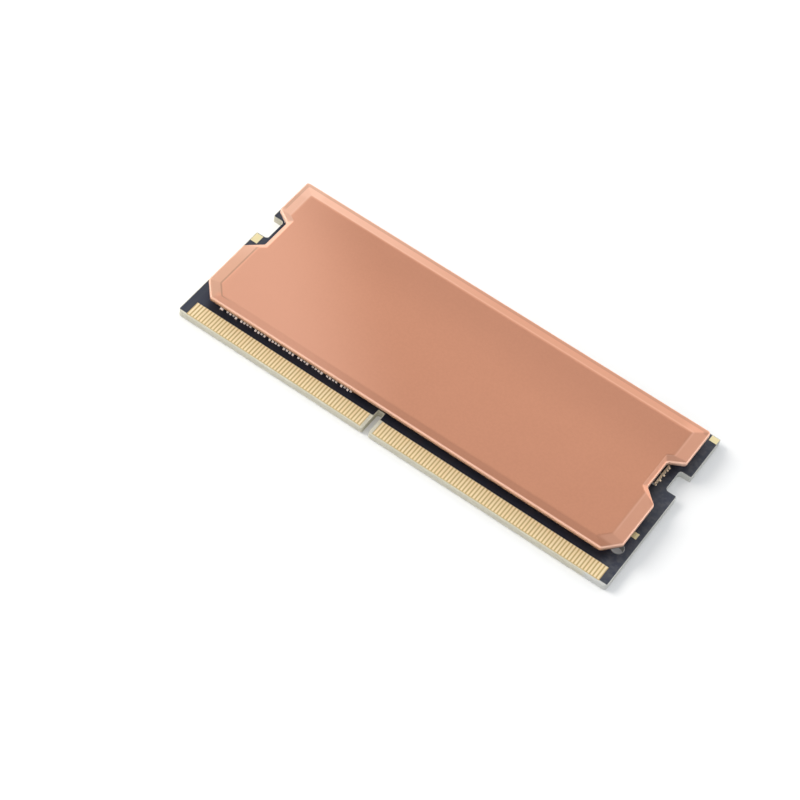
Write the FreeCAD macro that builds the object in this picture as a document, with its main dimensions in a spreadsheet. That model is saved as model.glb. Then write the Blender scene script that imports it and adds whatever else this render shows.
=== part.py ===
import FreeCAD, Part
import math
import os
import Sketcher

# Copper heatsink on a laptop memory module. X runs along the board, Y from the contact edge to the
# back edge, Z up; the origin is the middle of the board's underside. Sizes are in millimetres.

SIZES = [
    ("board_length", 69.6, "circuit board, along the contact edge"),
    ("board_width", 30.0, "circuit board, contact edge to back edge"),
    ("board_thickness", 1.2, "circuit board"),
    ("front_corner_radius", 0.6, "board corners beside the contacts"),
    ("back_corner_radius", 0.2, "board corners at the back edge"),
    ("latch_notch_start", 18.0, "contact edge to the near side of the latch notch"),
    ("latch_notch_width", 4.0, "latch notch, along the short side"),
    ("latch_notch_depth", 1.8, "latch notch, into the board"),
    ("latch_notch_radius", 0.5, "inner corners of the latch notch"),
    ("latch_mouth_radius", 0.2, "outer corners of the latch notch"),
    ("key_offset", 3.5, "key notch, left of the middle"),
    ("key_width", 1.0, "key notch"),
    ("key_depth", 3.9, "key notch, from the contact edge"),
    ("key_radius", 0.3, "corners of the key notch"),
    ("hole_diameter", 1.8, "round holes near the short sides"),
    ("hole_side", 2.0, "hole axis to the short side"),
    ("hole_front", 6.0, "hole axis to the contact edge"),
    ("bevel_width", 0.25, "bevel of the contact edge, along the board"),
    ("bevel_height", 0.2, "bevel of the contact edge, through the thickness"),
    ("contact_pitch", 0.5, "contact to contact"),
    ("contact_width", 0.35, "contact"),
    ("contact_length", 2.37, "contact, towards the back edge"),
    ("contact_thickness", 0.05, "contact, and depth of the bare bed that it lies in"),
    ("contact_setback", 0.05, "bevel to contact"),
    ("contact_key_gap", 1.25, "middle of the key notch to the nearest contact"),
    ("contact_end_margin", 1.55, "middle of the last contact to the short side"),
    ("bed_margin", 0.1, "bare bed beyond the outer contacts"),
    ("edge_pad_inset", 0.1, "bare gold pads to the board's edge"),
    ("corner_pad_length", 1.2, "gold pad in the back right corner"),
    ("corner_pad_width", 1.0, "gold pad in the back right corner"),
    ("side_pad_inset", 0.75, "gold pad at the right side, to the short side"),
    ("side_pad_front", 8.65, "gold pad at the right side, to the contact edge"),
    ("side_pad_size", 1.0, "gold pad at the right side"),
    ("latch_pad_length", 1.1, "gold pad before the left latch notch"),
    ("latch_pad_width", 1.6, "gold pad before the left latch notch"),
    ("gold_pad_thickness", 0.03, "bare gold pads"),
    ("chip_length", 11.0, "memory chip, along the board"),
    ("chip_width", 7.5, "memory chip, across the board"),
    ("chip_height", 1.0, "memory chip over the board"),
    ("chip_end_margin", 4.5, "outer memory chip to the short side"),
    ("chip_column_gap", 1.6, "memory chip to its neighbour along the board"),
    ("chip_front_margin", 7.05, "front memory chips to the contact edge"),
    ("chip_row_gap", 2.7, "front memory chips to back memory chips"),
    ("config_length", 3.0, "settings chip, along the board"),
    ("config_width", 2.0, "settings chip, across the board"),
    ("config_height", 0.55, "settings chip over the board"),
    ("array_length", 1.9, "resistor array, along its terminals"),
    ("array_width", 1.0, "resistor array, over its terminals"),
    ("array_height", 0.4, "resistor array over the board"),
    ("array_pitch", 2.4, "resistor array to resistor array in a row"),
    ("array_end_margin", 6.2, "middle of the last array of a row to the short side"),
    ("array_key_gap", 5.0, "middle of the first array of a row to the middle of the key notch"),
    ("left_row_front", 3.95, "left row of arrays to the contact edge"),
    ("right_row_front", 4.6, "right row of arrays to the contact edge"),
    ("latch_array_pitch", 2.0, "array to array beside the latch notch"),
    ("latch_array_offset", 0.4, "arrays beside the latch notch, before its middle"),
    ("array_chip_gap", 0.3, "memory chip to the arrays beside the latch notch"),
    ("terminal_count", 4, "terminals on each side of an array"),
    ("terminal_pitch", 0.5, "terminal to terminal"),
    ("terminal_width", 0.3, "terminal of an array"),
    ("terminal_reach", 0.22, "terminal of an array, under and over the body's side"),
    ("capacitor_length", 1.0, "capacitor over its end caps"),
    ("capacitor_width", 0.5, "capacitor"),
    ("capacitor_height", 0.5, "capacitor over the board"),
    ("capacitor_cap", 0.25, "end cap of a capacitor"),
    ("capacitor_spread", 6.0, "capacitor to capacitor beside one memory chip"),
    ("capacitor_chip_gap", 0.85, "back memory chips to the capacitors behind them"),
    ("corner_capacitor_gap", 1.7, "last array of the left row to the capacitor beside it"),
    ("pad_thickness", 0.3, "thermal pad"),
    ("pad_inset", 0.3, "thermal pad inside the outer edges of the chips"),
    ("spreader_end_margin", 1.05, "short side of the board to the heat spreader"),
    ("spreader_front", 3.25, "contact edge of the board to the heat spreader"),
    ("spreader_back_margin", 1.25, "back edge of the board to the heat spreader"),
    ("spreader_shift", -0.25, "heat spreader, laid by hand off the middle"),
    ("spreader_edge", 0.75, "heat spreader, height of its edge"),
    ("panel_rise", 0.28, "raised panel over the edge of the heat spreader"),
    ("side_border", 2.2, "sloping border at the short sides"),
    ("back_border", 2.2, "sloping border at the back"),
    ("front_border", 1.15, "sloping border at the front"),
    ("cut_length", 2.05, "cut front corner, along the board"),
    ("cut_width", 2.4, "cut front corner, across the board"),
    ("cut_border", 2.9, "sloping border of the cut corner, across the board"),
    ("latch_room_depth", 2.2, "cut-out round the latch, into the heat spreader"),
    ("latch_room_front", 4.5, "cut-out's mouth before the latch notch"),
    ("latch_room_back", 0.1, "cut-out's mouth behind the latch notch"),
    ("latch_room_front_slope", 2.05, "slanted front side of the cut-out, across the board"),
    ("latch_room_back_slope", 1.4, "slanted back side of the cut-out, across the board"),
    ("latch_room_border", 0.75, "sloping border at the floor of the cut-out"),
    ("latch_slope_border", 1.2, "sloping border of the slanted sides, across the board"),
    ("outline_radius", 0.45, "corners of the heat spreader's outline"),
    ("panel_radius", 0.2, "corners of the raised panel"),
    ("rim_radius", 0.25, "rounded upper rim of the heat spreader"),
]

doc = FreeCAD.newDocument("MemoryHeatsink")
sheet = doc.addObject("Spreadsheet::Sheet", "Sizes")
for row, (alias, number, note) in enumerate(SIZES, start=1):
    sheet.set("A%d" % row, alias)
    sheet.set("B%d" % row, str(number))
    sheet.setAlias("B%d" % row, alias)
    sheet.set("C%d" % row, note)
doc.recompute()


class Measure:
    """A length that keeps its number and the sheet formula that gives it."""

    def __init__(self, number, formula):
        self.number = number
        self.formula = formula

    def __add__(self, other):
        other = measure(other)
        return Measure(self.number + other.number, "(%s + %s)" % (self.formula, other.formula))

    def __sub__(self, other):
        other = measure(other)
        return Measure(self.number - other.number, "(%s - %s)" % (self.formula, other.formula))

    def __mul__(self, other):
        other = measure(other)
        return Measure(self.number * other.number, "(%s * %s)" % (self.formula, other.formula))

    def __truediv__(self, other):
        other = measure(other)
        return Measure(self.number / other.number, "(%s / %s)" % (self.formula, other.formula))

    def __neg__(self):
        return Measure(-self.number, "(-1 * %s)" % self.formula)


def measure(value):
    """A plain number as a length of its own."""
    if isinstance(value, Measure):
        return value
    return Measure(value, repr(value))


def size(alias):
    """A driving size, read from the sheet."""
    return Measure(float(sheet.get(alias)), "Sizes." + alias)


def how_many(room, pitch):
    """Copies at that pitch whose middles fit in the room."""
    spare = 0.001
    count = room / pitch + spare
    return Measure(math.floor(count.number), "floor(%s)" % count.formula) + 1


def bind(thing, target, value):
    thing.setExpression(target, value.formula)


def new_body(label):
    body = doc.addObject("PartDesign::Body", label)
    body.Label = label
    return body


def origin_feature(body, role):
    """A plane or axis of the body's own origin."""
    return [feature for feature in body.Origin.OriginFeatures if feature.Role == role][0]


def new_sketch(body, name, height, role="XY_Plane"):
    """A sketch on one of the body's planes, lifted along the plane's normal."""
    sketch = body.newObject("Sketcher::SketchObject", name)
    sketch.AttachmentSupport = [(origin_feature(body, role), "")]
    sketch.MapMode = "FlatFace"
    bind(sketch, "AttachmentOffset.Base.z", measure(height))
    doc.recompute()
    return sketch


def constrain(sketch, kind, places, value):
    """A dimension of the sketch that follows its formula."""
    index = sketch.addConstraint(Sketcher.Constraint(kind, *places, value.number))
    bind(sketch, "Constraints[%d]" % index, value)


def add_polygon(sketch, corners):
    """A closed outline of straight lines through the corners."""
    points = [FreeCAD.Vector(x.number, y.number, 0) for x, y in corners]
    lines = []
    for start, end in zip(points, points[1:] + points[:1]):
        lines.append(sketch.addGeometry(Part.LineSegment(start, end)))
    for line, following in zip(lines, lines[1:] + lines[:1]):
        sketch.addConstraint(Sketcher.Constraint("Coincident", line, 2, following, 1))
    for line, (x, y) in zip(lines, corners):
        constrain(sketch, "DistanceX", (-1, 1, line, 1), x)
        constrain(sketch, "DistanceY", (-1, 1, line, 1), y)


def add_rectangle(sketch, left, front, right, back):
    add_polygon(sketch, [(left, front), (right, front), (right, back), (left, back)])


def add_circle(sketch, x, y, diameter):
    centre = FreeCAD.Vector(x.number, y.number, 0)
    circle = sketch.addGeometry(Part.Circle(centre, FreeCAD.Vector(0, 0, 1), diameter.number / 2))
    constrain(sketch, "DistanceX", (-1, 1, circle, 3), x)
    constrain(sketch, "DistanceY", (-1, 1, circle, 3), y)
    constrain(sketch, "Diameter", (circle,), diameter)


def add_rounded_outline(sketch, corners):
    """A closed outline, anticlockwise, with an arc at each corner (x, y, radius)."""
    up = FreeCAD.Vector(0, 0, 1)
    points = [FreeCAD.Vector(x.number, y.number, 0) for x, y, radius in corners]
    arcs = []
    for index, (x, y, radius) in enumerate(corners):
        corner = points[index]
        back = (points[index - 1] - corner).normalize()
        ahead = (points[(index + 1) % len(points)] - corner).normalize()
        half_angle = back.getAngle(ahead) / 2
        bisector = (back + ahead).normalize()
        centre = corner + bisector * (radius.number / math.sin(half_angle))
        setback = radius.number / math.tan(half_angle)
        outward = back.cross(ahead).z < 0
        first, last = corner + back * setback, corner + ahead * setback
        from_point, to_point = (first, last) if outward else (last, first)
        circle = Part.Circle(centre, up, radius.number)
        arc = Part.ArcOfCircle(circle, circle.parameter(from_point), circle.parameter(to_point))
        arcs.append((sketch.addGeometry(arc), first, last, outward))
    lines = []
    for (arc, first, last, outward), following in zip(arcs, arcs[1:] + arcs[:1]):
        lines.append(sketch.addGeometry(Part.LineSegment(last, following[1])))
    for index, (arc, first, last, outward) in enumerate(arcs):
        x, y, radius = corners[index]
        before, after = lines[index - 1], lines[index]
        arc_start, arc_end = (1, 2) if outward else (2, 1)
        corner = sketch.addGeometry(Part.Point(points[index]), True)
        sketch.addConstraint([
            Sketcher.Constraint("Tangent", before, 2, arc, arc_start),
            Sketcher.Constraint("Tangent", arc, arc_end, after, 1),
            Sketcher.Constraint("PointOnObject", corner, 1, before),
            Sketcher.Constraint("PointOnObject", corner, 1, after),
        ])
        constrain(sketch, "Radius", (arc,), radius)
        constrain(sketch, "DistanceX", (-1, 1, corner, 1), x)
        constrain(sketch, "DistanceY", (-1, 1, corner, 1), y)


def add_pad(body, name, sketch, height):
    pad = body.newObject("PartDesign::Pad", name)
    pad.Profile = sketch
    bind(pad, "Length", height)
    doc.recompute()
    return pad


def add_pocket(body, name, sketch, depth, upward=False):
    """A cut down from the sketch, or up from it; stops if it takes nothing away."""
    volume = body.Shape.Volume
    pocket = body.newObject("PartDesign::Pocket", name)
    pocket.Profile = sketch
    pocket.Reversed = upward
    bind(pocket, "Length", depth)
    doc.recompute()
    if body.Shape.Volume >= volume:
        raise RuntimeError(name + " cuts nothing")
    return pocket


def add_row(body, name, role, count, pitch):
    """One step of a repeat: that many copies at that pitch along an axis of the body."""
    row = body.newObject("PartDesign::LinearPattern", name)
    row.Direction = (origin_feature(body, role), [""])
    bind(row, "Occurrences", count)
    bind(row, "Length", (count - 1) * pitch)
    return row


def repeat(body, name, feature, *rows):
    """Copies of one feature along one or more rows."""
    if len(rows) == 1:
        pattern = add_row(body, name, *rows[0])
    else:
        pattern = body.newObject("PartDesign::MultiTransform", name)
        steps = [add_row(body, "%s_step_%d" % (name, step), *row) for step, row in enumerate(rows)]
        pattern.Transformations = steps
    pattern.Originals = [feature]
    body.Tip = pattern
    doc.recompute()
    return pattern


def add_block(label, left, front, low, length, width, height):
    """A plain block, placed by its lowest corner."""
    block = doc.addObject("Part::Box", label)
    block.Label = label
    bind(block, "Length", length)
    bind(block, "Width", width)
    bind(block, "Height", height)
    bind(block, "Placement.Base.x", left)
    bind(block, "Placement.Base.y", front)
    bind(block, "Placement.Base.z", low)
    return block


half_length = size("board_length") / 2
front_edge = -size("board_width") / 2
back_edge = size("board_width") / 2
board_top = size("board_thickness")
key_middle = -size("key_offset")
latch_start = front_edge + size("latch_notch_start")
latch_end = latch_start + size("latch_notch_width")
LEFT, RIGHT = -1, 1

# The contact rows, counted from the key notch to the short sides.
contact_front = front_edge + size("bevel_width") + size("contact_setback")
contact_back = contact_front + size("contact_length")
short_nearest = key_middle - size("contact_key_gap")
long_nearest = key_middle + size("contact_key_gap")
short_room = short_nearest + half_length - size("contact_end_margin")
long_room = half_length - long_nearest - size("contact_end_margin")
short_count = how_many(short_room, size("contact_pitch"))
long_count = how_many(long_room, size("contact_pitch"))
short_first = short_nearest - (short_count - 1) * size("contact_pitch")
long_last = long_nearest + (long_count - 1) * size("contact_pitch")
CONTACT_ROWS = {
    "short": (short_first, short_nearest, short_count),
    "long": (long_nearest, long_last, long_count),
}


def board_side(side):
    """The right or left end of the board, from front to back."""
    outer = half_length * side
    inner = (half_length - size("latch_notch_depth")) * side
    return [
        (outer, front_edge, size("front_corner_radius")),
        (outer, latch_start, size("latch_mouth_radius")),
        (inner, latch_start, size("latch_notch_radius")),
        (inner, latch_end, size("latch_notch_radius")),
        (outer, latch_end, size("latch_mouth_radius")),
        (outer, back_edge, size("back_corner_radius")),
    ]


def add_contact_beds(board, name, height, upward):
    """The bare beds of one face, in which the contacts lie flush."""
    sketch = new_sketch(board, name + "_outline", height)
    overhang = size("contact_width") / 2 + size("bed_margin")
    for first, last, count in CONTACT_ROWS.values():
        left, right = first - overhang, last + overhang
        add_rectangle(sketch, left, front_edge, right, contact_back)
    add_pocket(board, name, sketch, size("contact_thickness"), upward)


# The circuit board: routed outline with latch notches and key notch, two round holes, a bevelled
# contact edge and a bare bed for the contacts on both faces.
board = new_body("circuit_board")
board_outline = new_sketch(board, "board_outline", 0)
key_left = key_middle - size("key_width") / 2
key_right = key_middle + size("key_width") / 2
key_end = front_edge + size("key_depth")
key_corners = [(key_left, front_edge), (key_left, key_end), (key_right, key_end), (key_right, front_edge)]
rounded_key = [(x, y, size("key_radius")) for x, y in key_corners]
add_rounded_outline(board_outline, rounded_key + board_side(RIGHT) + board_side(LEFT)[::-1])
add_pad(board, "board_blank", board_outline, board_top)

holes = new_sketch(board, "hole_outline", board_top)
for side in (LEFT, RIGHT):
    hole_x = (half_length - size("hole_side")) * side
    add_circle(holes, hole_x, front_edge + size("hole_front"), size("hole_diameter"))
add_pocket(board, "board_holes", holes, board_top)

bevels = new_sketch(board, "bevel_outline", -half_length, "YZ_Plane")
bevel_back = front_edge + size("bevel_width")
floor_level = measure(0)
for face, inward in ((floor_level, size("bevel_height")), (board_top, -size("bevel_height"))):
    triangle = [(front_edge, face), (bevel_back, face), (front_edge, face + inward)]
    add_polygon(bevels, triangle)
add_pocket(board, "contact_edge_bevel", bevels, size("board_length"), upward=True)

add_contact_beds(board, "bottom_beds", 0, upward=True)
add_contact_beds(board, "top_beds", board_top, upward=False)

# The gold contacts: one row each side of the key notch, on both faces.
contact_levels = {"bottom": measure(0), "top": board_top - size("contact_thickness")}
for face, level in contact_levels.items():
    for group, (first, last, count) in CONTACT_ROWS.items():
        label = "contacts_%s_%s" % (face, group)
        contacts = new_body(label)
        outline = new_sketch(contacts, label + "_outline", level)
        left = first - size("contact_width") / 2
        add_rectangle(outline, left, contact_front, left + size("contact_width"), contact_back)
        contact = add_pad(contacts, label + "_first", outline, size("contact_thickness"))
        repeat(contacts, label + "_row", contact, ("X_Axis", count, size("contact_pitch")))

# Bare gold pads on the upper face: in the back right corner, at the right side and before the
# left latch notch.
gold_pads = new_body("edge_pads")
gold_outline = new_sketch(gold_pads, "edge_pads_outline", board_top)
corner_right = half_length - size("edge_pad_inset")
corner_back = back_edge - size("edge_pad_inset")
corner_left = corner_right - size("corner_pad_length")
add_rectangle(gold_outline, corner_left, corner_back - size("corner_pad_width"), corner_right, corner_back)
side_right = half_length - size("side_pad_inset")
side_front = front_edge + size("side_pad_front")
side_left = side_right - size("side_pad_size")
add_rectangle(gold_outline, side_left, side_front, side_right, side_front + size("side_pad_size"))
latch_pad_left = -half_length + size("edge_pad_inset")
latch_pad_back = latch_start - size("edge_pad_inset")
latch_pad_front = latch_pad_back - size("latch_pad_width")
latch_pad_right = latch_pad_left + size("latch_pad_length")
add_rectangle(gold_outline, latch_pad_left, latch_pad_front, latch_pad_right, latch_pad_back)
add_pad(gold_pads, "edge_pads_plating", gold_outline, size("gold_pad_thickness"))

# The memory chips: two rows, with the columns set in from the short sides.
chip_outer = half_length - size("chip_end_margin")
chip_step = size("chip_length") + size("chip_column_gap")
column_lefts = [
    -chip_outer,
    -chip_outer + chip_step,
    chip_outer - chip_step - size("chip_length"),
    chip_outer - size("chip_length"),
]
front_row = front_edge + size("chip_front_margin")
back_row = front_row + size("chip_width") + size("chip_row_gap")
chip_back = back_row + size("chip_width")
chips = []
for row_front in (front_row, back_row):
    for column_left in column_lefts:
        label = "memory_chip_%d" % (len(chips) + 1)
        chip_sizes = (size("chip_length"), size("chip_width"), size("chip_height"))
        chips.append(add_block(label, column_left, row_front, board_top, *chip_sizes))

# The settings chip, in the middle between the back columns.
config_left = -size("config_length") / 2
config_sizes = (size("config_length"), size("config_width"), size("config_height"))
add_block("config_memory", config_left, back_row, board_top, *config_sizes)

# The resistor arrays: ceramic bodies with tinned terminals along both long sides. One row lies
# each side of the key notch, and two arrays stand beside the right latch notch.
left_row_room = key_middle - size("array_key_gap") + half_length - size("array_end_margin")
right_row_room = half_length - size("array_end_margin") - key_middle - size("array_key_gap")
left_array_count = how_many(left_row_room, size("array_pitch"))
right_array_count = how_many(right_row_room, size("array_pitch"))
left_row_first = -half_length + size("array_end_margin")
right_row_first = key_middle + size("array_key_gap")
array_half = size("array_length") / 2
terminal_half = size("terminal_width") / 2
first_terminal = (size("terminal_count") - 1) * size("terminal_pitch") / 2 + terminal_half
across_arrays = size("array_width") - size("terminal_reach")
side_count = measure(2)
front_rows = {
    "left": (left_row_first, front_edge + size("left_row_front"), left_array_count),
    "right": (right_row_first, front_edge + size("right_row_front"), right_array_count),
}
latch_array_left = chip_outer + size("array_chip_gap")
latch_array_middle = (latch_start + latch_end - size("latch_array_pitch")) / 2 - size("latch_array_offset")

resistor_bodies = new_body("resistor_bodies")
for name, (first, front, count) in front_rows.items():
    outline = new_sketch(resistor_bodies, name + "_array_outline", board_top)
    body_front = front + size("terminal_reach")
    body_back = front + across_arrays
    add_rectangle(outline, first - array_half, body_front, first + array_half, body_back)
    ceramic = add_pad(resistor_bodies, name + "_array", outline, size("array_height"))
    repeat(resistor_bodies, name + "_arrays", ceramic, ("X_Axis", count, size("array_pitch")))
outline = new_sketch(resistor_bodies, "latch_array_outline", board_top)
body_left = latch_array_left + size("terminal_reach")
body_right = latch_array_left + across_arrays
add_rectangle(outline, body_left, latch_array_middle - array_half, body_right, latch_array_middle + array_half)
ceramic = add_pad(resistor_bodies, "latch_array", outline, size("array_height"))
repeat(resistor_bodies, "latch_arrays", ceramic, ("Y_Axis", side_count, size("latch_array_pitch")))

resistor_terminals = new_body("resistor_terminals")
terminal_row = (size("terminal_count"), size("terminal_pitch"))
for name, (first, front, count) in front_rows.items():
    outline = new_sketch(resistor_terminals, name + "_terminal_outline", board_top)
    left = first - first_terminal
    add_rectangle(outline, left, front, left + size("terminal_width"), front + size("terminal_reach"))
    terminal = add_pad(resistor_terminals, name + "_terminal", outline, size("array_height"))
    along = ("X_Axis", *terminal_row)
    across = ("Y_Axis", side_count, across_arrays)
    arrays = ("X_Axis", count, size("array_pitch"))
    repeat(resistor_terminals, name + "_terminals", terminal, along, across, arrays)
outline = new_sketch(resistor_terminals, "latch_terminal_outline", board_top)
front = latch_array_middle - first_terminal
terminal_right = latch_array_left + size("terminal_reach")
add_rectangle(outline, latch_array_left, front, terminal_right, front + size("terminal_width"))
terminal = add_pad(resistor_terminals, "latch_terminal", outline, size("array_height"))
along = ("Y_Axis", *terminal_row)
across = ("X_Axis", side_count, across_arrays)
arrays = ("Y_Axis", side_count, size("latch_array_pitch"))
repeat(resistor_terminals, "latch_terminals", terminal, along, across, arrays)

# The capacitors: ceramic bodies between two tinned end caps, two by each memory chip's column in
# the gap between the chip rows and behind the back row, and one by the left row of arrays.
capacitor_bodies = new_body("capacitor_bodies")
capacitor_terminals = new_body("capacitor_terminals")
middle_gap = front_row + size("chip_width") + (size("chip_row_gap") - size("capacitor_width")) / 2
behind_chips = chip_back + size("capacitor_chip_gap")
row_step = behind_chips - middle_gap
cap_step = size("capacitor_length") - size("capacitor_cap")
capacitor_sets = {
    "left": column_lefts[0],
    "right": column_lefts[2],
}
pair_rows = (
    ("X_Axis", side_count, size("capacitor_spread")),
    ("X_Axis", side_count, chip_step),
    ("Y_Axis", side_count, row_step),
)
for name, column_left in capacitor_sets.items():
    left = column_left + (size("chip_length") - size("capacitor_spread") - size("capacitor_length")) / 2
    back = middle_gap + size("capacitor_width")
    outline = new_sketch(capacitor_bodies, name + "_capacitor_outline", board_top)
    add_rectangle(outline, left + size("capacitor_cap"), middle_gap, left + cap_step, back)
    ceramic = add_pad(capacitor_bodies, name + "_capacitor", outline, size("capacitor_height"))
    repeat(capacitor_bodies, name + "_capacitors", ceramic, *pair_rows)
    outline = new_sketch(capacitor_terminals, name + "_cap_outline", board_top)
    add_rectangle(outline, left, middle_gap, left + size("capacitor_cap"), back)
    end_cap = add_pad(capacitor_terminals, name + "_cap", outline, size("capacitor_height"))
    both_ends = ("X_Axis", side_count, cap_step)
    repeat(capacitor_terminals, name + "_caps", end_cap, both_ends, *pair_rows)

corner_left = left_row_first - size("corner_capacitor_gap") - size("capacitor_width") / 2
corner_right = corner_left + size("capacitor_width")
corner_front = front_edge + size("left_row_front")
outline = new_sketch(capacitor_bodies, "corner_capacitor_outline", board_top)
add_rectangle(outline, corner_left, corner_front + size("capacitor_cap"), corner_right, corner_front + cap_step)
add_pad(capacitor_bodies, "corner_capacitor", outline, size("capacitor_height"))
outline = new_sketch(capacitor_terminals, "corner_cap_outline", board_top)
add_rectangle(outline, corner_left, corner_front, corner_right, corner_front + size("capacitor_cap"))
end_cap = add_pad(capacitor_terminals, "corner_cap", outline, size("capacitor_height"))
repeat(capacitor_terminals, "corner_caps", end_cap, ("Y_Axis", side_count, cap_step))

# The thermal pad: one soft sheet over all memory chips, which bonds the plate to them.
chip_top = board_top + size("chip_height")
pad_left = -chip_outer + size("pad_inset")
pad_front = front_row + size("pad_inset")
pad_length = (chip_outer - size("pad_inset")) * 2
pad_width = chip_back - front_row - size("pad_inset") * 2
add_block("thermal_pad", pad_left, pad_front, chip_top, pad_length, pad_width, size("pad_thickness"))

# The heat spreader: a copper plate with cut front corners and a slanted cut-out round each latch.
# Its border slopes down from the raised panel to a rounded rim.
spreader_low = chip_top + size("pad_thickness")
rim_level = spreader_low + size("spreader_edge")
spreader_half = half_length - size("spreader_end_margin")
spreader_front = front_edge + size("spreader_front")
spreader_back = back_edge - size("spreader_back_margin")
mouth_front = latch_start - size("latch_room_front")
mouth_back = latch_end + size("latch_room_back")
front_grade = size("latch_room_front_slope") / size("latch_room_depth")
back_grade = size("latch_room_back_slope") / size("latch_room_depth")
cut_grade = size("cut_width") / size("cut_length")


def spreader_x(side, inset):
    return (spreader_half - inset) * side + size("spreader_shift")


def spreader_side(side):
    """The right or left end of the plate's outline, from front to back."""
    depth = size("latch_room_depth")
    edge = measure(0)
    places = [
        (size("cut_length"), spreader_front),
        (edge, spreader_front + size("cut_width")),
        (edge, mouth_front),
        (depth, mouth_front + size("latch_room_front_slope")),
        (depth, mouth_back - size("latch_room_back_slope")),
        (edge, mouth_back),
        (edge, spreader_back),
    ]
    return [(spreader_x(side, inset), y, size("outline_radius")) for inset, y in places]


def panel_side(side):
    """The right or left end of the raised panel, parallel to the outline, from front to back."""
    border = size("side_border")
    depth = size("latch_room_depth") + size("latch_room_border")
    panel_front = spreader_front + size("front_border")
    cut_line = spreader_front + size("cut_width") + size("cut_border")
    front_line = mouth_front - size("latch_slope_border")
    back_line = mouth_back + size("latch_slope_border")
    places = [
        ((cut_line - panel_front) / cut_grade, panel_front),
        (border, cut_line - cut_grade * border),
        (border, front_line + front_grade * border),
        (depth, front_line + front_grade * depth),
        (depth, back_line - back_grade * depth),
        (border, back_line - back_grade * border),
        (border, spreader_back - size("back_border")),
    ]
    return [(spreader_x(side, inset), y, size("panel_radius")) for inset, y in places]


spreader = new_body("heat_spreader")
outline = new_sketch(spreader, "spreader_outline", spreader_low)
add_rounded_outline(outline, spreader_side(RIGHT) + spreader_side(LEFT)[::-1])
add_pad(spreader, "spreader_blank", outline, size("spreader_edge"))
border_foot = new_sketch(spreader, "border_foot", rim_level)
add_rounded_outline(border_foot, spreader_side(RIGHT) + spreader_side(LEFT)[::-1])
panel_outline = new_sketch(spreader, "panel_outline", rim_level + size("panel_rise"))
add_rounded_outline(panel_outline, panel_side(RIGHT) + panel_side(LEFT)[::-1])
border = spreader.newObject("PartDesign::AdditiveLoft", "sloping_border")
border.Profile = border_foot
border.Sections = [panel_outline]
border.Ruled = True
doc.recompute()

rim_edges = []
for index, edge in enumerate(border.Shape.Edges, start=1):
    box = edge.BoundBox
    if box.ZLength < 1e-6 and abs(box.ZMin - rim_level.number) < 1e-6:
        rim_edges.append("Edge%d" % index)
rim = spreader.newObject("PartDesign::Fillet", "rounded_rim")
rim.Base = (border, rim_edges)
bind(rim, "Radius", size("rim_radius"))
doc.recompute()

parts = [thing for thing in doc.Objects if thing.TypeId in ("PartDesign::Body", "Part::Box")]
for thing in doc.Objects:
    if "Invalid" in thing.State or "Error" in thing.State:
        raise RuntimeError("%s did not build: %s" % (thing.Label, thing.State))
for part in parts:
    if part.Shape.isNull() or not part.Shape.isValid():
        raise RuntimeError(part.Label + " has no valid shape")

os.makedirs("parts", exist_ok=True)
for part in parts:
    part.Shape.exportStep("parts/%s.step" % part.Label)
    print("%-24s %4d solids %10.3f mm3" % (part.Label, len(part.Shape.Solids), part.Shape.Volume))
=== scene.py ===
import math
import random

import bmesh
import bpy
from mathutils import Matrix, Vector


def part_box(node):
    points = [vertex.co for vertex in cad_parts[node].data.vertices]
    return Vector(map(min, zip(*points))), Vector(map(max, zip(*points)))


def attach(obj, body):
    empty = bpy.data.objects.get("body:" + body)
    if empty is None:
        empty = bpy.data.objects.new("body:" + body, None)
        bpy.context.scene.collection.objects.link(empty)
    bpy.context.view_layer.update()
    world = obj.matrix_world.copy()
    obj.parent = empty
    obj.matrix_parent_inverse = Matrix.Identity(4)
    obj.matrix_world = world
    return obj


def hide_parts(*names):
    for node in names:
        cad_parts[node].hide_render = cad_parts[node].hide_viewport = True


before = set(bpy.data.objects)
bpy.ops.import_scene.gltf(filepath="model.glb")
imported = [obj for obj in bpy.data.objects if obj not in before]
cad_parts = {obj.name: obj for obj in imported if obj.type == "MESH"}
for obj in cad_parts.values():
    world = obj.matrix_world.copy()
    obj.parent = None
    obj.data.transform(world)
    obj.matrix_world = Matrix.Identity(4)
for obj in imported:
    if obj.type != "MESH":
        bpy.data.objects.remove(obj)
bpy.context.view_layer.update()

# Circuit board: glass and epoxy laminate under a matt black solder mask, routed to its outline and drilled.
# The edges, the bevelled contact edge and the beds of the contacts are bare, so the pale laminate shows.
MM = 0.001
board_low, board_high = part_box("circuit_board")
board_skin = 0.02 * MM
mask_margin = 0.07 * MM
flat_cosine = 0.95
hole_side, hole_front, hole_radius = 2.0 * MM, 6.0 * MM, 0.9 * MM
key_middle, key_half, key_depth = -3.5 * MM, 0.5 * MM, 3.9 * MM
bare_half, bare_depth = 1.3 * MM, 2.7 * MM
mask_painted_shade = (0.003, 0.003, 0.007, 1)
mask_black = (0.021, 0.025, 0.043, 1)
mask_worn = (0.033, 0.038, 0.060, 1)
mask_trace = (0.045, 0.048, 0.058, 1)
mask_dusty = (0.085, 0.085, 0.092, 1)
laminate_pale = (0.64, 0.61, 0.50, 1)
laminate_layer = (0.54, 0.51, 0.41, 1)
laminate_painted_shade = (0.56, 0.57, 0.57, 1)
bed_tan = (0.57, 0.42, 0.19, 1)
hole_painted_shade = (0.12, 0.09, 0.06, 1)
bare_roughness = 0.72
mask_smooth, mask_rough = 0.40, 0.52


def new_material(name, **sockets):
    """A material whose shader has these constant values."""
    material = bpy.data.materials.new(name)
    material.use_nodes = True
    shader = material.node_tree.nodes["Principled BSDF"]
    for socket, value in sockets.items():
        shader.inputs[socket.replace("_", " ").title().replace("Ior", "IOR")].default_value = value
    return material


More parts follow.
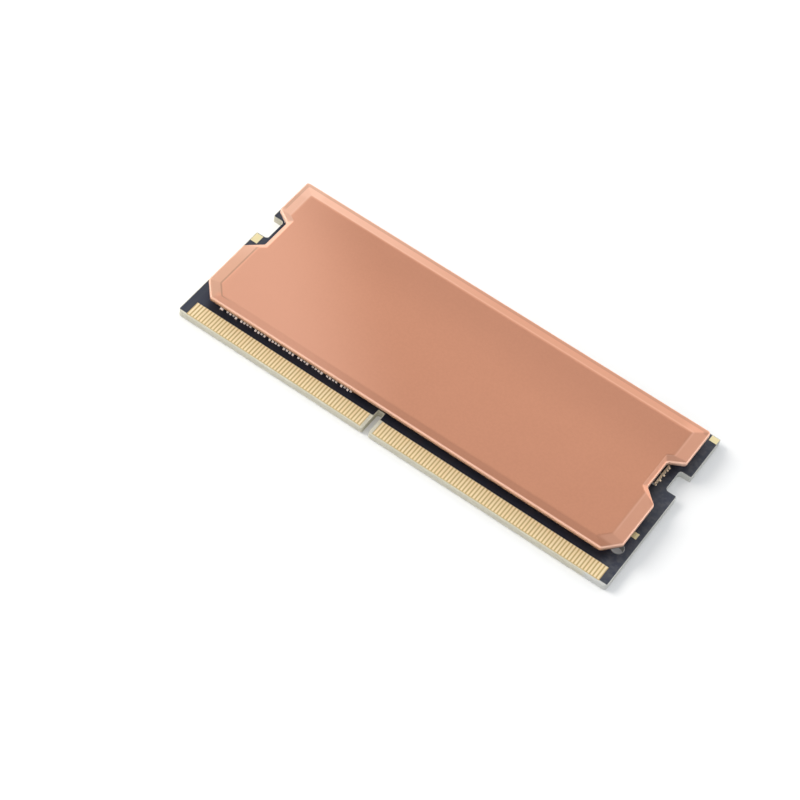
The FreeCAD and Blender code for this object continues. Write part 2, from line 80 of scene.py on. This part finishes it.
def add_node(material, kind, inputs, **settings):
    """A node of the material, with its inputs set to values or joined to other nodes' outputs."""
    node = material.node_tree.nodes.new(kind)
    for name, value in settings.items():
        setattr(node, name, value)
    for name, value in inputs.items():
        if isinstance(value, bpy.types.NodeSocket):
            material.node_tree.links.new(value, node.inputs[name])
        else:
            node.inputs[name].default_value = value
    return node


def math_node(material, operation, first, second=0.0):
    return add_node(material, "ShaderNodeMath", {0: first, 1: second}, operation=operation).outputs[0]


def overlap(material, first, second):
    """Where both regions are, or a region weakened by a number."""
    return math_node(material, "MULTIPLY", first, second)


def either(material, first, second):
    """Where one region or the other is."""
    return math_node(material, "MAXIMUM", first, second)


def between(material, value, low, high):
    """1 where the value lies between low and high, else 0."""
    inputs = {0: value, 1: (low + high) / 2, 2: (high - low) / 2}
    return add_node(material, "ShaderNodeMath", inputs, operation="COMPARE").outputs[0]


def ramp(material, value, start, end):
    """A smooth step from 0 at the start to 1 at the end, which may lie on either side of it."""
    inputs = {"Value": value, "From Min": start, "From Max": end}
    return add_node(material, "ShaderNodeMapRange", inputs, interpolation_type="SMOOTHSTEP").outputs[0]


def mix_value(material, factor, first, second):
    return add_node(material, "ShaderNodeMix", {0: factor, 2: first, 3: second}).outputs[0]


def mix_colour(material, factor, first, second):
    inputs = {0: factor, 6: first, 7: second}
    return add_node(material, "ShaderNodeMix", inputs, data_type="RGBA").outputs[2]


def tint(material, colour, toward, region, share):
    """The colour, taken this share of the way toward another within a region."""
    return mix_colour(material, overlap(material, region, share), colour, toward)


def object_place(material):
    """The place on the piece, in metres, and its three coordinates."""
    place = add_node(material, "ShaderNodeTexCoord", {}).outputs["Object"]
    split = add_node(material, "ShaderNodeSeparateXYZ", {0: place})
    return place, split.outputs["X"], split.outputs["Y"], split.outputs["Z"]


def stretched(material, place, x, y, z):
    """The place with its axes scaled, for streaks and layers."""
    return add_node(material, "ShaderNodeMapping", {"Vector": place, "Scale": (x, y, z)}).outputs[0]


def noise(material, place, scale, detail=2.0, roughness=0.5):
    inputs = {"Vector": place, "Scale": scale, "Detail": detail, "Roughness": roughness}
    return add_node(material, "ShaderNodeTexNoise", inputs).outputs["Fac"]


def bump(material, height, strength, distance):
    inputs = {"Height": height, "Strength": strength, "Distance": distance}
    return add_node(material, "ShaderNodeBump", inputs).outputs[0]


def set_shader(material, **sockets):
    """Joins the shader's sockets to what the material's nodes give."""
    shader = material.node_tree.nodes["Principled BSDF"]
    for socket, output in sockets.items():
        material.node_tree.links.new(output, shader.inputs[socket.replace("_", " ").title()])


def dress(material, *nodes):
    """Gives the CAD nodes this material."""
    for name in nodes:
        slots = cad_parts[name].data.materials
        slots.clear()
        slots.append(material)


board = new_material("board_mask_and_laminate", ior=1.5)
place, x, y, z = object_place(board)
facing = add_node(board, "ShaderNodeNewGeometry", {}).outputs["True Normal"]
upright = math_node(board, "ABSOLUTE", add_node(board, "ShaderNodeSeparateXYZ", {0: facing}).outputs["Z"])
flat_face = math_node(board, "GREATER_THAN", upright, flat_cosine)
over_top = math_node(board, "GREATER_THAN", z, board_high.z - board_skin)
under_low = math_node(board, "LESS_THAN", z, board_low.z + board_skin)
outer_face = overlap(board, flat_face, either(board, over_top, under_low))
bed_floor = math_node(board, "SUBTRACT", flat_face, outer_face)

from_middle = math_node(board, "ABSOLUTE", x)
ring_x = math_node(board, "SUBTRACT", from_middle, board_high.x - hole_side)
ring_y = math_node(board, "SUBTRACT", y, board_low.y + hole_front)
ring_x_square = math_node(board, "POWER", ring_x, 2.0)
ring_y_square = math_node(board, "POWER", ring_y, 2.0)
ring_square = math_node(board, "ADD", ring_x_square, ring_y_square)
bare = math_node(board, "LESS_THAN", ring_square, (hole_radius + mask_margin) ** 2)
bare = either(board, bare, math_node(board, "GREATER_THAN", from_middle, board_high.x - mask_margin))
bare = either(board, bare, math_node(board, "GREATER_THAN", y, board_high.y - mask_margin))
for half, depth in ((key_half + mask_margin, key_depth + mask_margin), (bare_half, bare_depth)):
    across = between(board, x, key_middle - half, key_middle + half)
    along = between(board, y, board_low.y, board_low.y + depth)
    bare = either(board, bare, overlap(board, across, along))
masked = overlap(board, outer_face, math_node(board, "SUBTRACT", 1.0, bare))

cloud = noise(board, place, 260.0, 3.0)
trace_wave = add_node(board, "ShaderNodeTexWave", {"Vector": place, "Scale": 98.0, "Distortion": 0.6})
trace_lines = ramp(board, trace_wave.outputs["Fac"], 0.62, 0.82)
trace_runs = ramp(board, noise(board, stretched(board, place, 1, 0.12, 1), 420.0), 0.46, 0.54)
traces = overlap(board, trace_lines, trace_runs)
dust_specks = ramp(board, noise(board, stretched(board, place, 0.4, 0.4, 1), 2600.0, 4.0, 0.7), 0.38, 0.66)
dust = overlap(board, dust_specks, ramp(board, x, 25.0 * MM, 34.0 * MM))
# Painted shade: the mask is painted darker along the plate's front edge, where the plate shades it.
plate_front = ramp(board, y, -13.4 * MM, -12.5 * MM)
painted_plate_shade = overlap(board, plate_front, ramp(board, from_middle, 33.0 * MM, 31.5 * MM))
mask_colour = mix_colour(board, cloud, mask_black, mask_worn)
mask_colour = tint(board, mask_colour, mask_trace, traces, share=0.35)
mask_colour = tint(board, mask_colour, mask_dusty, dust, share=0.6)
mask_colour = tint(board, mask_colour, mask_painted_shade, painted_plate_shade, share=0.65)

layers = noise(board, stretched(board, place, 0.05, 0.05, 1), 9000.0, 1.0)
fibres = noise(board, place, 5200.0)
pale_layers = ramp(board, overlap(board, layers, fibres), 0.18, 0.42)
# Painted shade: the drilled wall of the hole is painted dark brown, for the shade inside the hole.
drilled = math_node(board, "LESS_THAN", ring_square, (hole_radius + board_skin) ** 2)
# Painted shade: the laminate at the board's right end is painted grey, as its shaded side wall.
shaded_right_side = ramp(board, x, board_high.x - 4.0 * MM, board_high.x - 3.0 * MM)
edge_colour = mix_colour(board, pale_layers, laminate_layer, laminate_pale)
edge_colour = mix_colour(board, drilled, edge_colour, hole_painted_shade)
edge_colour = tint(board, edge_colour, laminate_painted_shade, shaded_right_side, share=0.7)
bare_colour = mix_colour(board, bed_floor, edge_colour, bed_tan)
set_shader(
    board,
    base_color=mix_colour(board, masked, bare_colour, mask_colour),
    roughness=mix_value(board, masked, bare_roughness, mix_value(board, cloud, mask_smooth, mask_rough)),
    normal=bump(board, math_node(board, "ADD", fibres, traces), 0.12, 0.02 * MM),
)
dress(board, "circuit_board")

# Contacts and test pads: copper foil with a thin layer of plated gold, the contacts flush in their beds. The
# sides of each contact are painted darker, painted shade that makes them look deeper, and the socket's rub
# leaves faint lines along it.
gold_light = (0.91, 0.755, 0.49, 1)
gold_deep = (0.91, 0.69, 0.405, 1)
gold_side_shade = (0.68, 0.50, 0.23, 1)
gold_pad_painted_light = (1.0, 0.89, 0.50, 1)
contact_pitch = 0.5 * MM
contact_metal, pad_metal = 0.2, 0.85


def gold_material(name, metal):
    """Plated gold, its colour, and how far across the contact pitch each place lies."""
    gold = new_material(name, metallic=metal)
    place, x, y, z = object_place(gold)
    steps = math_node(gold, "DIVIDE", x, contact_pitch)
    step_number = math_node(gold, "FLOOR", steps)
    each = add_node(gold, "ShaderNodeTexWhiteNoise", {"W": step_number}, noise_dimensions="1D")
    rub = noise(gold, stretched(gold, place, 1, 0.05, 1), 16000.0)
    tarnish = noise(gold, place, 900.0, 3.0)
    depth = mix_value(gold, 0.35, tarnish, each.outputs["Value"])
    set_shader(gold, roughness=mix_value(gold, rub, 0.38, 0.55), normal=bump(gold, rub, 0.10, 0.01 * MM))
    return gold, mix_colour(gold, depth, gold_light, gold_deep), math_node(gold, "FRACT", steps)


contact_gold, gold_colour, across = gold_material("contact_gold", contact_metal)
# Painted shade: each contact is painted darker toward its two sides.
off_middle = math_node(contact_gold, "ABSOLUTE", math_node(contact_gold, "SUBTRACT", across, 0.5))
shaded_sides = ramp(contact_gold, off_middle, 0.22, 0.34)
set_shader(contact_gold, base_color=mix_colour(contact_gold, shaded_sides, gold_colour, gold_side_shade))
dress(contact_gold, "contacts_top_short", "contacts_top_long")
dress(contact_gold, "contacts_bottom_short", "contacts_bottom_long")
# Painted light: the pads' gold is mixed toward a paler gold, so they stay bright in the plate's shade.
pad_gold, gold_colour, across = gold_material("pad_gold", pad_metal)
set_shader(pad_gold, base_color=mix_colour(pad_gold, 0.6, gold_colour, gold_pad_painted_light))
dress(pad_gold, "edge_pads")

# Memory chips and settings chip: packages of black moulded epoxy with a fine matt grain. They are soldered
# flat to the board, the memory chips in two rows and the settings chip between the back ones.
epoxy_black = (0.022, 0.022, 0.024, 1)
epoxy_speck = (0.060, 0.060, 0.062, 1)
epoxy = new_material("chip_epoxy", ior=1.5)
place, x, y, z = object_place(epoxy)
grit = noise(epoxy, place, 7000.0, 3.0)
set_shader(
    epoxy,
    base_color=mix_colour(epoxy, ramp(epoxy, grit, 0.5, 0.75), epoxy_black, epoxy_speck),
    roughness=mix_value(epoxy, grit, 0.55, 0.75),
    normal=bump(epoxy, grit, 0.2, 0.015 * MM),
)
dress(epoxy, *["memory_chip_%d" % number for number in range(1, 9)], "config_memory")

# Resistor arrays: white alumina blocks with a black glaze on top. They stand in rows before the chips and
# beside the right latch notch, held by the tinned terminals down both sides.
glaze_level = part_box("resistor_bodies")[1].z - board_skin
alumina_dull = (0.62, 0.62, 0.60, 1)
alumina_pale = (0.74, 0.74, 0.72, 1)
glaze_deep = (0.015, 0.015, 0.018, 1)
glaze_black = (0.03, 0.03, 0.034, 1)
alumina = new_material("resistor_ceramic", ior=1.6)
place, x, y, z = object_place(alumina)
glazed = math_node(alumina, "GREATER_THAN", z, glaze_level)
chalk = noise(alumina, place, 8000.0)
side_colour = mix_colour(alumina, chalk, alumina_dull, alumina_pale)
top_colour = mix_colour(alumina, chalk, glaze_deep, glaze_black)
set_shader(
    alumina,
    base_color=mix_colour(alumina, glazed, side_colour, top_colour),
    roughness=mix_value(alumina, glazed, 0.7, 0.3),
)
dress(alumina, "resistor_bodies")

# Tinned ends of the arrays and capacitors, with the soft frosty surface of reflowed solder, tinted pink as a
# painted reflection of the copper plate. A hollow wedge of solder climbs each one from the board, and the
# ends by the right latch notch are painted darker and coppery, as painted shade and reflection.
tin_dull_painted_pink = (0.88, 0.72, 0.64, 1)
tin_bright_painted_pink = (1.0, 0.87, 0.79, 1)
tin_painted_notch_shade = (0.86, 0.64, 0.38, 1)
fillet_reach, fillet_climb = 0.18 * MM, 0.36 * MM
least_reach, most_reach = 0.3, 1.5
fillet_steps = 4
same_place = 1e-7
tin = new_material("tin", metallic=0.25)
place, x, y, z = object_place(tin)
frost = noise(tin, place, 9000.0, 3.0)
tin_colour = mix_colour(tin, frost, tin_dull_painted_pink, tin_bright_painted_pink)
# Painted shade and reflection: the tin by the right latch notch is painted darker and coppery.
painted_notch_shade_region = ramp(tin, x, 26.0 * MM, 28.0 * MM)
set_shader(
    tin,
    base_color=tint(tin, tin_colour, tin_painted_notch_shade, painted_notch_shade_region, share=0.7),
    roughness=mix_value(tin, frost, 0.30, 0.5),
    normal=bump(tin, frost, 0.25, 0.01 * MM),
)
dress(tin, "resistor_terminals", "capacitor_terminals")


def solid_boxes(name):
    """The low and high corners of each separate solid of a CAD node."""
    solids = bmesh.new()
    solids.from_mesh(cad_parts[name].data)
    bmesh.ops.remove_doubles(solids, verts=solids.verts, dist=same_place)
    waiting = set(solids.verts)
    boxes = []
    while waiting:
        found = [waiting.pop()]
        for vert in found:
            beside = {edge.other_vert(vert) for edge in vert.link_edges} & waiting
            waiting -= beside
            found.extend(beside)
        spread = list(zip(*(vert.co for vert in found)))
        boxes.append((Vector(map(min, spread)), Vector(map(max, spread))))
    solids.free()
    return boxes


def outward(low, high, body_low, body_high):
    """The direction in which a terminal stands out from its body."""
    past = {
        (1, 0): low.x - body_high.x,
        (-1, 0): body_low.x - high.x,
        (0, 1): low.y - body_high.y,
        (0, -1): body_low.y - high.y,
    }
    return Vector(max(past, key=past.get)).to_3d()


def parts_of(geometry, kind):
    """The vertices or faces among what a mesh operator gives back."""
    return [part for part in geometry if isinstance(part, kind)]


def add_fillet(mesh, low, high, direction, reach):
    """A hollow wedge of solder from the board up the outer face of a terminal."""
    middle = (low + high) / 2
    half = (high - low) / 2
    side = Vector((-direction.y, direction.x, 0))
    face = Vector((middle.x, middle.y, low.z)) + direction * abs(direction.dot(half))
    half_width = side * abs(side.dot(half))
    curve = [face]
    for step in range(fillet_steps + 1):
        turn = math.pi / 2 * step / fillet_steps
        rise = Vector((0, 0, fillet_climb * (1 - math.cos(turn))))
        curve.append(face + direction * (reach * (1 - math.sin(turn))) + rise)
    end = mesh.faces.new([mesh.verts.new(point - half_width) for point in curve])
    swept = bmesh.ops.extrude_face_region(mesh, geom=[end], use_keep_orig=True)["geom"]
    bmesh.ops.translate(mesh, verts=parts_of(swept, bmesh.types.BMVert), vec=half_width * 2)


def add_piece(name, mesh, material):
    """Makes the mesh a piece of the module and hands it to the frame."""
    bmesh.ops.recalc_face_normals(mesh, faces=mesh.faces)
    data = bpy.data.meshes.new(name)
    mesh.to_mesh(data)
    mesh.free()
    data.materials.append(material)
    piece = bpy.data.objects.new(name, data)
    bpy.context.scene.collection.objects.link(piece)
    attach(piece, "root")
    return piece


random.seed(4)
solder = bmesh.new()
for kind in ("resistor", "capacitor"):
    bodies = solid_boxes(kind + "_bodies")
    for low, high in sorted(solid_boxes(kind + "_terminals"), key=lambda box: box[0][:]):
        body = min(bodies, key=lambda box: (box[0] + box[1] - low - high).length)
        reach = fillet_reach * random.uniform(least_reach, most_reach)
        add_fillet(solder, low, high, outward(low, high, *body), reach)
add_piece("solder_fillets", solder, tin)

# Capacitors: small blocks of fired brown ceramic. Each is soldered to the board by the tinned cap at either
# end, beside and behind the memory chips.
ceramic_deep = (0.25, 0.155, 0.085, 1)
ceramic_pale = (0.40, 0.27, 0.17, 1)
ceramic = new_material("capacitor_ceramic", ior=1.55)
place, x, y, z = object_place(ceramic)
fired = noise(ceramic, place, 6000.0, 3.0)
set_shader(
    ceramic,
    base_color=mix_colour(ceramic, fired, ceramic_deep, ceramic_pale),
    roughness=mix_value(ceramic, fired, 0.45, 0.65),
)
dress(ceramic, "capacitor_bodies")

# Thermal pad: a soft grey sheet of silicone filled with mineral powder. It is tacky on both faces, and
# pressed between the chips and the plate it holds the plate.
silicone_deep = (0.30, 0.32, 0.35, 1)
silicone_pale = (0.46, 0.48, 0.50, 1)
silicone = new_material("thermal_pad", ior=1.42)
place, x, y, z = object_place(silicone)
filler = noise(silicone, place, 4200.0, 4.0, 0.65)
set_shader(
    silicone,
    base_color=mix_colour(silicone, filler, silicone_deep, silicone_pale),
    roughness=mix_value(silicone, filler, 0.7, 0.9),
    normal=bump(silicone, filler, 0.35, 0.03 * MM),
)
dress(silicone, "thermal_pad")

# Heat spreader: a pressed copper plate with a fine blasted surface. Its border slopes down from the flat
# panel to a rounded rim, the front corners are cut off, and a slanted cut-out at each end leaves room for
# the socket's latch.
spreader_low, spreader_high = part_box("heat_spreader")
rim_level = spreader_low.z + 0.75 * MM
cut_length, cut_width = 2.05 * MM, 2.4 * MM
mouth_front, mouth_back = board_low.y + 13.5 * MM, board_low.y + 22.1 * MM
front_slope, back_slope = 2.05 * MM, 1.4 * MM
mouth_depth = 2.2 * MM
side_border, back_border, front_border = 2.2 * MM, 2.2 * MM, 1.15 * MM
mouth_border, slope_border, cut_border = 0.75 * MM, 1.2 * MM, 2.9 * MM
outline_radius, panel_radius = 0.45 * MM, 0.20 * MM
rim_radius, crease_radius = 0.25 * MM, 0.08 * MM
corner_steps, crease_steps, rim_steps = 4, 3, 5
copper_panel = (0.695, 0.316, 0.194, 1)
copper_warm = (0.745, 0.346, 0.215, 1)
copper_border = (0.76, 0.405, 0.275, 1)
# The next five colours stand for painted shade and light on the copper: a dark crease line, pale highlights,
# lighter ends, darker shade and a lighter left ear.
copper_crease_shade = (0.40, 0.20, 0.13, 1)
copper_painted_highlight = (0.94, 0.58, 0.43, 1)
copper_painted_light = (0.93, 0.478, 0.326, 1)
copper_painted_shade = (0.50, 0.23, 0.15, 1)
copper_ear_painted_light = (0.76, 0.50, 0.35, 1)
wall_metal, rim_metal, top_metal = 0.1, 0.6, 1.0


def both_ends(places):
    """Corners all round, anticlockwise, from the right end's insets and widths, front to back."""
    right = [(spreader_high.x - inset, width) for inset, width in places]
    left = [(spreader_low.x + inset, width) for inset, width in places]
    return right + left[::-1]


def round_off(mesh, parts, size, steps, kind):
    """Rounds off corners or edges of a mesh."""
    bmesh.ops.bevel(
        mesh, geom=parts, offset=size, offset_type="OFFSET", segments=steps, profile=0.5,
        affect=kind, material=-1)


def rounded_face(mesh, corners, level, radius):
    """A flat face with its corners rounded."""
    places = [Vector((x, y, level)) for x, y in corners]
    points = [mesh.verts.new(place) for place in places]
    mesh.faces.new(points)
    for number, point in enumerate(points):
        coming = places[number] - places[number - 1]
        going = places[(number + 1) % len(places)] - places[number]
        setback = radius * math.tan(coming.angle(going) / 2)
        round_off(mesh, [point], setback, corner_steps, "VERTICES")
    return [face for face in mesh.faces if abs(face.calc_center_median().z - level) < same_place][0]


def edges_at(mesh, level):
    return [edge for edge in mesh.edges if all(abs(vert.co.z - level) < same_place for vert in edge.verts)]


outline = both_ends([
    (cut_length, spreader_low.y),
    (0, spreader_low.y + cut_width),
    (0, mouth_front),
    (mouth_depth, mouth_front + front_slope),
    (mouth_depth, mouth_back - back_slope),
    (0, mouth_back),
    (0, spreader_high.y),
])
panel_depth = mouth_depth + mouth_border
front_grade = front_slope / mouth_depth
back_grade = back_slope / mouth_depth
cut_grade = cut_width / cut_length
cut_line = spreader_low.y + cut_width + cut_border
panel_front = spreader_low.y + front_border
panel = both_ends([
    ((cut_line - panel_front) / cut_grade, panel_front),
    (side_border, cut_line - cut_grade * side_border),
    (side_border, mouth_front - slope_border + front_grade * side_border),
    (panel_depth, mouth_front - slope_border + front_grade * panel_depth),
    (panel_depth, mouth_back + slope_border - back_grade * panel_depth),
    (side_border, mouth_back + slope_border - back_grade * side_border),
    (side_border, spreader_high.y - back_border),
])
plate = bmesh.new()
blank = rounded_face(plate, outline, spreader_low.z, outline_radius)
raised = bmesh.ops.extrude_face_region(plate, geom=[blank], use_keep_orig=True)["geom"]
lifted = parts_of(raised, bmesh.types.BMVert)
bmesh.ops.translate(plate, verts=lifted, vec=(0, 0, rim_level - spreader_low.z))
bmesh.ops.delete(plate, geom=parts_of(raised, bmesh.types.BMFace), context="FACES_ONLY")
rounded_face(plate, panel, spreader_high.z, panel_radius)
bmesh.ops.bridge_loops(plate, edges=edges_at(plate, rim_level) + edges_at(plate, spreader_high.z))
bmesh.ops.recalc_face_normals(plate, faces=plate.faces)
round_off(plate, edges_at(plate, spreader_high.z), crease_radius, crease_steps, "EDGES")
round_off(plate, edges_at(plate, rim_level), rim_radius, rim_steps, "EDGES")

copper = new_material("blasted_copper")
place, x, y, z = object_place(copper)
mottle = noise(copper, place, 150.0, 4.0, 0.6)
speck = ramp(copper, noise(copper, place, 2600.0, 3.0, 0.6), 0.35, 0.65)
grain = noise(copper, place, 8500.0, 3.0, 0.6)
# Painted light: the panel and its border are painted lighter toward the left front end.
light_toward_left_front = ramp(copper, math_node(copper, "ADD", x, y), -8.0 * MM, -32.0 * MM)
shade_toward_back = ramp(copper, y, 1.0 * MM, 11.0 * MM)
panel_tone = mix_colour(copper, mix_value(copper, 0.35, mottle, speck), copper_panel, copper_warm)
# Painted shade: the panel is painted darker toward the back.
panel_tone = tint(copper, panel_tone, copper_painted_shade, shade_toward_back, share=0.30)
panel_tone = tint(copper, panel_tone, copper_painted_light, light_toward_left_front, share=0.75)

back_strip = ramp(copper, y, 10.5 * MM, 11.5 * MM)
# Painted light: the back border is painted lighter, more so toward the left.
light_far_back = overlap(copper, back_strip, ramp(copper, x, 5.0 * MM, -30.0 * MM))
# Painted light: the border is painted lighter at the right end.
light_right_end = ramp(copper, x, 29.0 * MM, 31.5 * MM)
front_strip = ramp(copper, y, -10.2 * MM, -10.8 * MM)
# Painted shade: the front border is painted darker, less so toward the left front.
shade_at_front = overlap(copper, front_strip, ramp(copper, x, -32.0 * MM, -31.0 * MM))
front_shade_tone = mix_colour(copper, mix_value(copper, light_toward_left_front, 0.25, 0.0), panel_tone, copper_painted_shade)
# Painted light: the border at the left end, from the latch cut-out back, is painted lighter.
left_end = ramp(copper, x, -30.0 * MM, -31.0 * MM)
light_left_back = overlap(copper, left_end, ramp(copper, y, -5.5 * MM, 0.5 * MM))
border_tone = mix_colour(copper, 0.5, panel_tone, copper_border)
# Painted light: the border is painted paler at the left front ear.
border_tone = tint(copper, border_tone, copper_ear_painted_light, light_toward_left_front, share=0.35)
border_tone = tint(copper, border_tone, copper_painted_highlight, light_far_back, share=0.6)
border_tone = tint(copper, border_tone, copper_painted_light, light_right_end, share=0.4)
border_tone = mix_colour(copper, shade_at_front, border_tone, front_shade_tone)
border_tone = tint(copper, border_tone, copper_painted_highlight, light_left_back, share=0.55)

# Painted shade and highlight: a thin line just below the panel's edge, dark at the left front and pale
# elsewhere, fading out toward the front.
crease_level = spreader_high.z - 0.045 * MM
from_crease = math_node(copper, "ABSOLUTE", math_node(copper, "SUBTRACT", z, crease_level))
crease_line = ramp(copper, from_crease, 0.028 * MM, 0.006 * MM)
left_crease = overlap(copper, ramp(copper, x, -28.0 * MM, -31.0 * MM), ramp(copper, y, 3.0 * MM, -2.0 * MM))
painted_shade_crease = overlap(copper, left_crease, 0.5)
painted_highlight_crease = overlap(copper, ramp(copper, y, -9.5 * MM, -7.5 * MM), 0.28)
crease_share = overlap(copper, crease_line, either(copper, painted_shade_crease, painted_highlight_crease))
crease_shade_and_highlight = mix_colour(copper, left_crease, copper_painted_highlight, copper_crease_shade)
border_tone = mix_colour(copper, crease_share, border_tone, crease_shade_and_highlight)

# Painted shade: a thin dark line along the rim at the back and at the back left ear.
rim_band = between(copper, z, rim_level + 0.020 * MM, rim_level + 0.090 * MM)
back_ear = overlap(copper, ramp(copper, y, 7.0 * MM, 8.0 * MM), ramp(copper, x, -31.0 * MM, -32.0 * MM))
rim_shade_at_back = either(copper, back_ear, ramp(copper, y, 12.5 * MM, 13.0 * MM))
border_tone = tint(copper, border_tone, copper_crease_shade, overlap(copper, rim_band, rim_shade_at_back), share=0.35)
# Painted highlight: the rim and wall take a pale copper tone.
shade_rim_front = ramp(copper, y, -8.8 * MM, -10.0 * MM)
# Painted shade: the rim is painted a little darker at the front.
rim_highlight_tone = tint(copper, copper_painted_highlight, copper_painted_shade, shade_rim_front, share=0.14)

on_panel = ramp(copper, z, spreader_high.z - 0.05 * MM, spreader_high.z - 0.01 * MM)
above_rim = ramp(copper, z, rim_level - 0.06 * MM, rim_level + 0.05 * MM)
above_wall = ramp(copper, z, rim_level - 0.40 * MM, rim_level - 0.20 * MM)
top_tone = mix_colour(copper, on_panel, border_tone, panel_tone)
side_metal = mix_value(copper, above_wall, wall_metal, rim_metal)
set_shader(
    copper,
    base_color=mix_colour(copper, above_rim, rim_highlight_tone, top_tone),
    metallic=mix_value(copper, above_rim, side_metal, top_metal),
    roughness=mix_value(copper, grain, 0.42, 0.48),
    normal=bump(copper, grain, 0.35, 0.03 * MM),
)
copper_plate = add_piece("copper_plate", plate, copper)
copper_plate.data.polygons.foreach_set("use_smooth", [True] * len(copper_plate.data.polygons))
even = copper_plate.modifiers.new("even_normals", "WEIGHTED_NORMAL")
even.keep_sharp = True
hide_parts("heat_spreader")

# Stage: a pale round floor with a low backdrop at its rim, both of matt paper. It keeps the soft shadow near
# the object, and farther out it shows white to the camera and in reflections.
floor_radius, backdrop_height = 3.0, 1.1
floor_sides = 64
paper_grey = (0.86, 0.86, 0.86, 1)
lift_white = (1, 1, 1, 1)
lift_start, lift_end = 0.15, 0.6
near_lift, far_lift = 0.05, 0.9
sweep = bmesh.new()
bmesh.ops.create_circle(sweep, cap_ends=True, segments=floor_sides, radius=floor_radius)
rim = bmesh.ops.extrude_edge_only(sweep, edges=sweep.edges[:])["geom"]
bmesh.ops.translate(sweep, verts=parts_of(rim, bmesh.types.BMVert), vec=(0, 0, backdrop_height))
floor_mesh = bpy.data.meshes.new("floor")
sweep.to_mesh(floor_mesh)
sweep.free()
floor = bpy.data.objects.new("floor", floor_mesh)
bpy.context.scene.collection.objects.link(floor)
paper = new_material("floor_paper", roughness=0.9, base_color=paper_grey)
paper_shader = paper.node_tree.nodes["Principled BSDF"]
paper_shader.inputs["Specular IOR Level"].default_value = 0.0
rays = add_node(paper, "ShaderNodeLightPath", {})
seen = either(paper, rays.outputs["Is Camera Ray"], rays.outputs["Is Glossy Ray"])
seen = either(paper, seen, rays.outputs["Is Transmission Ray"])
place, x, y, z = object_place(paper)
from_object = add_node(paper, "ShaderNodeVectorMath", {0: place}, operation="LENGTH").outputs["Value"]
lift_level = mix_value(paper, ramp(paper, from_object, lift_start, lift_end), near_lift, far_lift)
lift = add_node(
    paper, "ShaderNodeEmission", {"Color": lift_white, "Strength": overlap(paper, seen, lift_level)})
both = add_node(paper, "ShaderNodeAddShader", {0: paper_shader.outputs[0], 1: lift.outputs[0]})
paper.node_tree.links.new(both.outputs[0], paper.node_tree.nodes["Material Output"].inputs["Surface"])
floor_mesh.materials.append(paper)

# Studio light: a dim, slightly cool surround, with soft walls and panels that the copper mirrors. A warm key
# lamp on the left gives the shadow and is kept out of reflections.
surround_colour, surround_strength = (0.90, 0.95, 1.0, 1), 0.46
key_colour = (1.0, 0.96, 0.90)
wall_distance, wall_middle = 0.75, 0.45
wall_width, wall_height = 1.4, 0.40
world = bpy.data.worlds.new("studio")
bpy.context.scene.world = world
world.use_nodes = True
surround = world.node_tree.nodes["Background"]
surround.inputs["Color"].default_value = surround_colour
surround.inputs["Strength"].default_value = surround_strength


def add_lamp(name, spot, width, depth, brightness):
    """A soft lamp that looks at the middle of the object."""
    lamp = bpy.data.lights.new(name, "AREA")
    lamp.shape = "RECTANGLE"
    lamp.size = width
    lamp.size_y = depth
    lamp.energy = brightness * math.pi * width * depth
    holder = bpy.data.objects.new(name, lamp)
    holder.location = spot
    holder.rotation_euler = (-Vector(spot)).to_track_quat("-Z", "Y").to_euler()
    bpy.context.scene.collection.objects.link(holder)
    return holder


for name, x, y, brightness in (
    ("back_wall", 0, wall_distance, 0.95),
    ("left_wall", -wall_distance, 0, 1.3),
    ("right_wall", wall_distance, 0, 0.40),
    ("front_wall", 0, -wall_distance, 0.65),
):
    add_lamp(name, (x, y, wall_middle), wall_width, wall_height, brightness)
add_lamp("back_panel", (-0.10, 0.62, 0.66), width=0.9, depth=0.35, brightness=0.27)
add_lamp("top_panel", (-0.25, 0.05, 0.95), width=0.8, depth=0.6, brightness=0.42)
add_lamp("front_panel", (0.15, -0.65, 0.75), width=0.9, depth=0.4, brightness=0.6)
add_lamp("edge_lamp", (0.78, 0.50, 0.26), width=0.5, depth=0.2, brightness=2.0)
key = add_lamp("key", (-0.70, -0.16, 0.57), width=0.4, depth=0.4, brightness=10.5)
key.data.color = key_colour
key.visible_glossy = False

# Camera: where the photo was taken, solved from the board's corners, notches and contacts. It is rolled a
# little about its own axis, as the photo's was.
view_azimuth, view_elevation, view_roll = math.radians(24.50), math.radians(53.17), math.radians(12.61)
view_distance = 325.8 * MM
aim = Vector((-2.74, -7.87, 1.2)) * MM
lens = bpy.data.cameras.new("camera")
lens.sensor_width = 36.0
lens.lens = 109.18
camera = bpy.data.objects.new("camera", lens)
toward = Vector((
    math.sin(view_azimuth) * math.cos(view_elevation),
    -math.cos(view_azimuth) * math.cos(view_elevation),
    math.sin(view_elevation),
))
level_look = (-toward).to_track_quat("-Z", "Y").to_matrix()
rolled_look = level_look @ Matrix.Rotation(view_roll, 3, "Z")
camera.matrix_world = Matrix.Translation(aim + toward * view_distance) @ rolled_look.to_4x4()
bpy.context.scene.collection.objects.link(camera)
bpy.context.scene.camera = camera
bpy.context.scene.view_settings.view_transform = "Standard"
